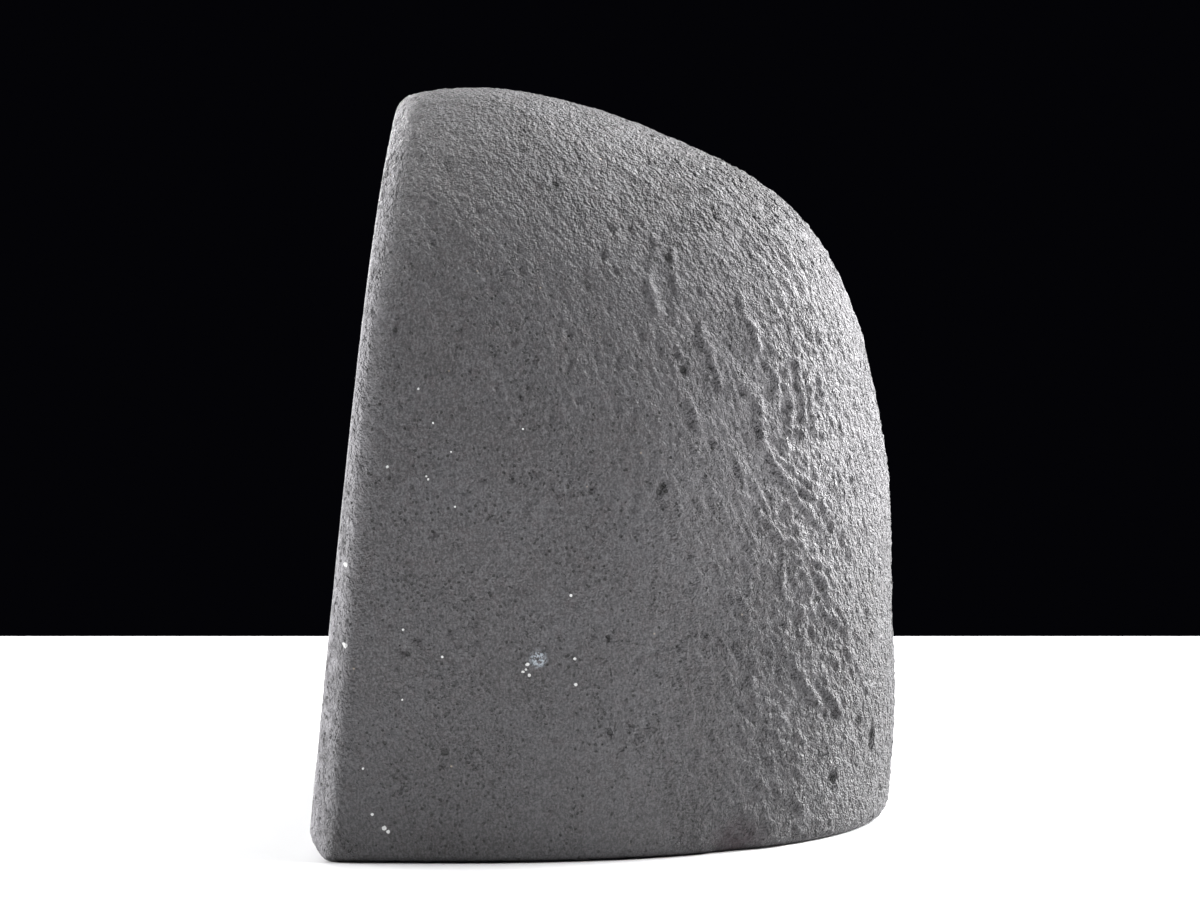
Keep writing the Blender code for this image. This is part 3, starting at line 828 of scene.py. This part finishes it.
def front_material():
    """Sawn rock: pale agate bands round the hollow, then a dark volcanic rind."""
    n = Nodes("sawn_front")
    wave = n.noise(n.place, 38, 3, 0.55)
    ripple = n.noise(n.place, 160, 3, 0.55)
    steps = n.maths("MULTIPLY_ADD", wave, 0.16, rim_steps(n))
    steps = n.maths("MULTIPLY_ADD", ripple, 0.03, steps)
    ramp = n.add("ShaderNodeValToRGB", {0: n.range(steps, 1.05, 1.55, smooth=False)})
    bands = (
        (0.0, (0.155, 0.148, 0.17)), (0.06, (0.085, 0.085, 0.105)), (0.085, (0.18, 0.175, 0.185)), (0.13, (0.15, 0.147, 0.155)),
        (0.15, (0.07, 0.073, 0.09)), (0.185, (0.15, 0.15, 0.155)), (0.235, (0.135, 0.137, 0.14)), (0.25, (0.06, 0.066, 0.066)),
        (0.30, (0.075, 0.082, 0.074)), (0.37, (0.05, 0.056, 0.047)), (0.55, (0.040, 0.042, 0.037)), (1.0, (0.032, 0.031, 0.030)),
    )
    while len(ramp.color_ramp.elements) < len(bands):
        ramp.color_ramp.elements.new(0.5)
    for element, (place, colour) in zip(ramp.color_ramp.elements, bands):
        element.position = place
        element.color = (*colour, 1)
    speckle = n.noise(n.place, 900, 3, 0.7)
    rind = n.range(steps, 1.2, 1.27)
    mottled = n.mix(n.maths("MULTIPLY", rind, n.range(speckle, 0.35, 0.7)), ramp.outputs[0], (0.075, 0.07, 0.064, 1))
    cells = n.add("ShaderNodeTexVoronoi", {"Vector": n.place, "Scale": 260.0, "Randomness": 1.0})
    pick = n.add("ShaderNodeSeparateColor", {0: cells.outputs["Color"]}).outputs[0]
    filled = n.maths("MULTIPLY", n.range(pick, 0.86, 0.9), n.range(cells.outputs["Distance"], 0.36, 0.28))
    mottled = n.mix(n.maths("MULTIPLY", rind, filled), mottled, (0.13, 0.15, 0.125, 1))
    n.colour(mottled)
    marks_of_saw = n.add("ShaderNodeTexWave", {"Vector": n.place, "Scale": 150.0, "Distortion": 3.0, "Detail": 2.0})
    marks_of_saw.bands_direction = "Z"
    height = n.maths("MULTIPLY_ADD", marks_of_saw.outputs["Fac"], 0.25, speckle)
    bumped = n.add("ShaderNodeBump", {"Strength": 0.35, "Distance": 0.0001, "Height": height})
    n.links.new(bumped.outputs[0], n.shader.inputs["Normal"])
    n.links.new(n.range(steps, 1.15, 1.4, 0.34, 0.65), n.shader.inputs["Roughness"])
    n.shader.inputs["Specular IOR Level"].default_value = 0.25
    return n.material


def base_material():
    """The sawn base: the same cement and rock, scraped flat."""
    n = Nodes("sawn_base")
    mottle = n.noise(n.place, 60, 4, 0.6)
    speckle = n.noise(n.place, 800, 3, 0.7)
    base = n.mix(n.range(mottle, 0.35, 0.65), grey(0.10, 0.02), grey(0.17, 0.01))
    base = n.mix(n.range(speckle, 0.4, 0.75, 0.0, 0.6), base, grey(0.28))
    n.colour(base)
    bumped = n.add("ShaderNodeBump", {"Strength": 0.6, "Distance": 0.0002, "Height": speckle})
    n.links.new(bumped.outputs[0], n.shader.inputs["Normal"])
    n.shader.inputs["Roughness"].default_value = 0.8
    return n.material


def wall_material():
    """The hollow's wall behind the crystals, pale quartz."""
    n = Nodes("hollow_wall")
    n.colour(n.mix(n.range(n.noise(n.place, 220, 3, 0.6), 0.3, 0.7), (0.12, 0.095, 0.145, 1), (0.20, 0.18, 0.22, 1)))
    n.shader.inputs["Roughness"].default_value = 0.5
    return n.material


def amethyst_material():
    """Clear purple quartz, milky at its foot and darkest towards the tips."""
    n = Nodes("amethyst")
    tip = n.add("ShaderNodeAttribute", attribute_name="from_wall").outputs["Fac"]
    cloud = n.noise(n.place, 130, 3, 0.6)
    depth = n.maths("MULTIPLY_ADD", cloud, 0.35, tip)
    base = n.mix(n.range(depth, 0.3, 0.7), (0.20, 0.15, 0.25, 1), (0.38, 0.20, 0.60, 1))
    base = n.mix(n.range(depth, 0.7, 1.2), base, (0.31, 0.13, 0.56, 1))
    n.colour(base)
    n.links.new(n.range(depth, 0.25, 0.6, 0.35, 0.92), n.shader.inputs["Transmission Weight"])
    n.shader.inputs["Roughness"].default_value = 0.06
    n.shader.inputs["IOR"].default_value = 1.544
    streaks = n.add("ShaderNodeTexNoise", {"Vector": n.place, "Scale": 700.0, "Detail": 2.0})
    bumped = n.add("ShaderNodeBump", {"Strength": 0.12, "Distance": 0.00008, "Height": streaks.outputs["Fac"]})
    n.links.new(bumped.outputs[0], n.shader.inputs["Normal"])
    absorption = n.nodes.new("ShaderNodeVolumeAbsorption")
    absorption.inputs["Color"].default_value = (0.50, 0.22, 0.84, 1)
    absorption.inputs["Density"].default_value = 60.0
    n.links.new(absorption.outputs[0], n.nodes["Material Output"].inputs["Volume"])
    return n.material


def floor_material():
    n = Nodes("pale_floor")
    n.colour(n.mix(n.noise(n.place, 6, 2, 0.5), (0.80, 0.80, 0.81, 1), (0.84, 0.84, 0.85, 1)))
    n.shader.inputs["Roughness"].default_value = 0.6
    return n.material


# The pieces

def make_rock():
    rock = new_object("coated_rock", rock_surface())
    hollow = hollow_form("hollow", WALL_FACES, 0.0)
    for own in (coat_material(), front_material(), base_material()):
        rock.data.materials.append(own)
    hollow.data.materials.append(wall_material())
    rock = with_booleans(rock, [("DIFFERENCE", hollow)])
    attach(rock, "root")
    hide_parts("rock_body")
    return rock


def make_crust():
    crust = hollow_form("crystal_crust", WALL_FACES, SEEN_GAP)
    inner = hollow_form("crust_inner_wall", DRUSE_FACES, FIT_GAP + BED_THICKNESS, 0.9 * MM)
    steps = [("DIFFERENCE", inner)]
    steps += [("UNION", group) for group in crystal_groups()]
    steps.append(("DIFFERENCE", front_block()))
    crust = with_booleans(crust, steps)
    crust.data.validate()
    crust.data.materials.clear()
    crust.data.materials.append(amethyst_material())
    for polygon in crust.data.polygons:
        polygon.use_smooth = False
    heights = []
    for vertex in crust.data.vertices:
        from_centre = vertex.co - HOLLOW_CENTRE
        distance = from_centre.length
        heights.append((hollow_reach(from_centre / distance) - distance) / (17 * MM))
    heights = np.array(heights, np.float32)
    from_wall = crust.data.attributes.new("from_wall", "FLOAT", "POINT")
    from_wall.data.foreach_set("value", heights)
    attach(crust, "root")
    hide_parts("amethyst_crust")
    return crust


def make_floor():
    """A pale table whose far edge lies behind the geode, as seen from the camera."""
    bm = bmesh.new()
    bmesh.ops.create_grid(bm, x_segments=1, y_segments=1, size=0.5)
    floor = new_object("floor", bm)
    floor.scale = (1.3, 2.4, 1)
    floor.location = (0.369, 0, 0)
    floor.data.materials.append(floor_material())


def add_light(name, turn, height, size, power, distance=1.3, aim=(0, 0, 0.08)):
    """A soft square light that faces the geode, so many degrees round from +X and up."""
    turn, height = math.radians(turn), math.radians(height)
    way = Vector((math.cos(turn) * math.cos(height), math.sin(turn) * math.cos(height), math.sin(height)))
    data = bpy.data.lights.new(name, "AREA")
    data.shape = "SQUARE"
    data.size = size
    data.energy = power
    made = bpy.data.objects.new(name, data)
    made.location = Vector(aim) + way * distance
    made.rotation_mode = "QUATERNION"
    made.rotation_quaternion = way.to_track_quat("Z", "Y")
    made.visible_camera = False
    bpy.context.scene.collection.objects.link(made)


def add_studio():
    add_light("key_light", 95, 48, 0.6, 37)
    add_light("low_key_light", 115, 14, 0.4, 35)
    add_light("high_key_light", 130, 35, 0.6, 10)
    add_light("left_light", -96, 20, 0.8, 34, 1.45)
    add_light("top_light", 180, 75, 0.6, 5)
    add_light("back_light", -150, 18, 0.5, 13)
    world = bpy.data.worlds.new("dark_studio")
    world.use_nodes = True
    world.node_tree.nodes["Background"].inputs["Color"].default_value = (0.0012, 0.0012, 0.002, 1)
    world.node_tree.nodes["Background"].inputs["Strength"].default_value = 1.0
    bpy.context.scene.world = world
    bpy.context.scene.view_settings.view_transform = "Standard"
    data = bpy.data.cameras.new("camera")
    data.lens = CAMERA_LENS
    data.clip_start = 0.01
    camera = bpy.data.objects.new("camera", data)
    camera.location = CAMERA_PLACE
    camera.rotation_euler = (math.radians(90) - CAMERA_PITCH, 0, math.radians(90))
    bpy.context.scene.collection.objects.link(camera)
    bpy.context.scene.camera = camera


make_rock()
make_crust()
make_floor()
add_studio()
